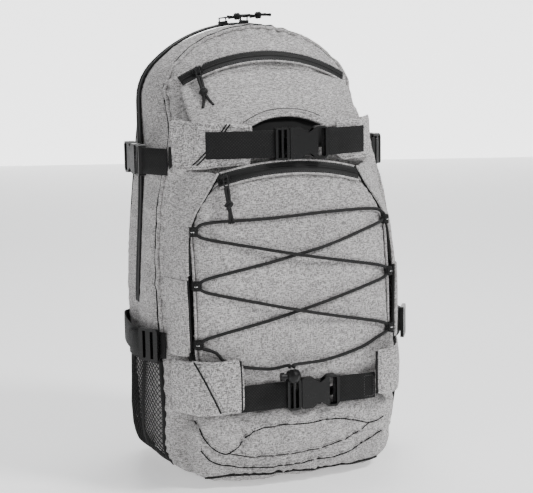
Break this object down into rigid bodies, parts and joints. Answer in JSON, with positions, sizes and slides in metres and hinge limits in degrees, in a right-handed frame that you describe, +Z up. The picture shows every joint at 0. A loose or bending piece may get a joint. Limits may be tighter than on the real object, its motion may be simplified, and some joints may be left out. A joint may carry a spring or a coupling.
{
  "type": "ski backpack",
  "caption": "Arched ski backpack with buckled board straps across the front, elastic lacing, mesh side pockets, zips with cord pulls and a shoulder harness.",
  "frame": {"origin": "middle of the flat underside of the base panel, which the pack stands on", "axes": "+Z up, -Y out of the front with the board straps, +X to the right when looking at the front"},
  "size_m": [0.3216, 0.2789, 0.5135],
  "materials": {
    "shell_fabric": "light grey melange polyester, plain weave",
    "base_fabric": "black coated polyester",
    "back_fabric": "dark grey polyester",
    "frame_plastic": "polyethylene sheet",
    "back_mesh": "black spacer mesh over foam",
    "pocket_mesh": "black diamond mesh",
    "zip_tape": "black coil zip with covered tape",
    "slider_metal": "black painted zinc",
    "pull_cord": "black braided cord",
    "buckle_plastic": "black moulded acetal, satin",
    "webbing": "black polyester webbing",
    "elastic": "black braided elastic cord",
    "strap_pad_fabric": "dark grey polyester over foam"
  },
  "bodies": {
    "pack": {"main_shell": "shell_fabric", "base_panel": "base_fabric", "back_panel": "back_fabric", "frame_sheet": "frame_plastic", "back_pad_left": "back_mesh", "back_pad_right": "back_mesh", "front_pocket": "shell_fabric", "lower_pocket": "shell_fabric", "upper_pocket": "shell_fabric", "mesh_pocket_left": "pocket_mesh", "mesh_pocket_right": "pocket_mesh", "main_zip_track": "zip_tape", "upper_zip_track": "zip_tape", "front_zip_track": "zip_tape", "upper_socket": "buckle_plastic", "lower_socket": "buckle_plastic", "upper_strap_left": "webbing", "upper_strap_right": "webbing", "lower_strap_left": "webbing", "lower_strap_right": "webbing", "upper_wing_left": "shell_fabric", "upper_wing_right": "shell_fabric", "lower_wing_left": "shell_fabric", "lower_wing_right": "shell_fabric", "side_socket_left": "buckle_plastic", "side_socket_right": "buckle_plastic", "side_strap_left": "webbing", "side_strap_right": "webbing", "low_side_strap_left": "webbing", "low_side_strap_right": "webbing", "elastic_cord": "elastic", "loop_tape_left": "webbing", "loop_tape_right": "webbing", "cord_lock_body": "buckle_plastic", "shoulder_strap_left": "strap_pad_fabric", "shoulder_strap_right": "strap_pad_fabric", "shoulder_webbing_left": "webbing", "shoulder_webbing_right": "webbing"},
    "main_left_slider": {"main_left_slider": "slider_metal"},
    "main_left_pull": {"main_left_pull": "pull_cord"},
    "main_right_slider": {"main_right_slider": "slider_metal"},
    "main_right_pull": {"main_right_pull": "pull_cord"},
    "upper_slider": {"upper_slider": "slider_metal"},
    "upper_pull": {"upper_pull": "pull_cord"},
    "front_slider": {"front_slider": "slider_metal"},
    "front_pull": {"front_pull": "pull_cord"},
    "upper_plug": {"upper_plug": "buckle_plastic"},
    "lower_plug": {"lower_plug": "buckle_plastic"},
    "side_plug_left": {"side_plug_left": "buckle_plastic"},
    "side_plug_right": {"side_plug_right": "buckle_plastic"},
    "cord_lock_button": {"cord_lock_button": "buckle_plastic"},
    "ladder_lock_left": {"ladder_lock_left": "buckle_plastic"},
    "ladder_lock_right": {"ladder_lock_right": "buckle_plastic"},
    "shoulder_adjuster_left": {"shoulder_adjuster_left": "buckle_plastic"},
    "shoulder_adjuster_right": {"shoulder_adjuster_right": "buckle_plastic"},
    "haul_loop": {"haul_loop": "webbing"},
    "sternum_strap": {"sternum_socket": "buckle_plastic", "sternum_strap_left": "webbing", "sternum_strap_right": "webbing"},
    "sternum_plug": {"sternum_plug": "buckle_plastic"}
  },
  "joints": [
    {"name": "main_left_slider_run", "type": "hinge", "parent": "pack", "child": "main_left_slider", "pos_m": [0, 0.07, 0.351], "axis": [0, 1, 0], "range_deg": [-33, 0]},
    {"name": "main_right_slider_run", "type": "hinge", "parent": "pack", "child": "main_right_slider", "pos_m": [0, 0.07, 0.351], "axis": [0, 1, 0], "range_deg": [0, 37]},
    {"name": "upper_slider_run", "type": "hinge", "parent": "pack", "child": "upper_slider", "pos_m": [0, 0.02799, 0.28575], "axis": [0, 0.9656, 0.26], "range_deg": [-4, 53]},
    {"name": "front_slider_run", "type": "hinge", "parent": "pack", "child": "front_slider", "pos_m": [0, 0.02174, 0.12964], "axis": [0, 0.8793, 0.4763], "range_deg": [0, 34]},
    {"name": "main_left_pull_lift", "type": "hinge", "parent": "main_left_slider", "child": "main_left_pull", "pos_m": [-0.01881, 0.07, 0.50697], "axis": [-0.9061, -0.4088, -0.1093], "range_deg": [0, 100]},
    {"name": "main_right_pull_lift", "type": "hinge", "parent": "main_right_slider", "child": "main_right_pull", "pos_m": [0.00785, 0.07, 0.5079], "axis": [-0.9311, -0.3618, 0.0466], "range_deg": [0, 100]},
    {"name": "upper_pull_lift", "type": "hinge", "parent": "upper_slider", "child": "upper_pull", "pos_m": [-0.07986, -0.02197, 0.45264], "axis": [-0.9387, 0.2437, -0.244], "range_deg": [0, 100]},
    {"name": "front_pull_lift", "type": "hinge", "parent": "front_slider", "child": "front_pull", "pos_m": [-0.07509, -0.09825, 0.34072], "axis": [-0.9708, 0.2222, -0.0906], "range_deg": [0, 100]},
    {"name": "upper_plug_release", "type": "slide", "parent": "pack", "child": "upper_plug", "axis": [-1, 0, 0], "range_m": [0, 0.03], "deforming": ["upper_strap_left"]},
    {"name": "lower_plug_release", "type": "slide", "parent": "pack", "child": "lower_plug", "axis": [-1, 0, 0], "range_m": [0, 0.03], "deforming": ["lower_strap_left"]},
    {"name": "side_plug_left_release", "type": "slide", "parent": "pack", "child": "side_plug_left", "axis": [0, -1, 0], "range_m": [0, 0.03], "deforming": ["side_strap_left"]},
    {"name": "side_plug_right_release", "type": "slide", "parent": "pack", "child": "side_plug_right", "axis": [0, -1, 0], "range_m": [0, 0.03], "deforming": ["side_strap_right"]},
    {"name": "cord_lock_press", "type": "slide", "parent": "pack", "child": "cord_lock_button", "axis": [1, 0, 0], "range_m": [0, 0.003], "stiffness_N_per_m": 400},
    {"name": "ladder_lock_left_tilt", "type": "hinge", "parent": "pack", "child": "ladder_lock_left", "pos_m": [-0.15731, -0.0417, 0.158], "axis": [0, 0, -1], "range_deg": [0, 30]},
    {"name": "ladder_lock_right_tilt", "type": "hinge", "parent": "pack", "child": "ladder_lock_right", "pos_m": [0.15731, -0.0417, 0.158], "axis": [0, 0, 1], "range_deg": [0, 30]},
    {"name": "shoulder_adjuster_left_tilt", "type": "hinge", "parent": "pack", "child": "shoulder_adjuster_left", "pos_m": [-0.08316, 0.10774, 0.20331], "axis": [0.9968, -0.0114, -0.0797], "range_deg": [0, 25], "deforming": ["shoulder_webbing_left"]},
    {"name": "shoulder_adjuster_right_tilt", "type": "hinge", "parent": "pack", "child": "shoulder_adjuster_right", "pos_m": [0.08316, 0.10774, 0.20331], "axis": [0.9968, 0.0114, 0.0797], "range_deg": [0, 25], "deforming": ["shoulder_webbing_right"]},
    {"name": "haul_loop_lift", "type": "hinge", "parent": "pack", "child": "haul_loop", "pos_m": [0, 0.086, 0.49], "axis": [1, 0, 0], "range_deg": [0, 100]},
    {"name": "sternum_height", "type": "slide", "parent": "pack", "child": "sternum_strap", "axis": [0, 0, 1], "range_m": [-0.025, 0.025]},
    {"name": "sternum_plug_release", "type": "slide", "parent": "sternum_strap", "child": "sternum_plug", "axis": [-1, 0, 0], "range_m": [0, 0.027], "deforming": ["sternum_strap_left"]}
  ]
}
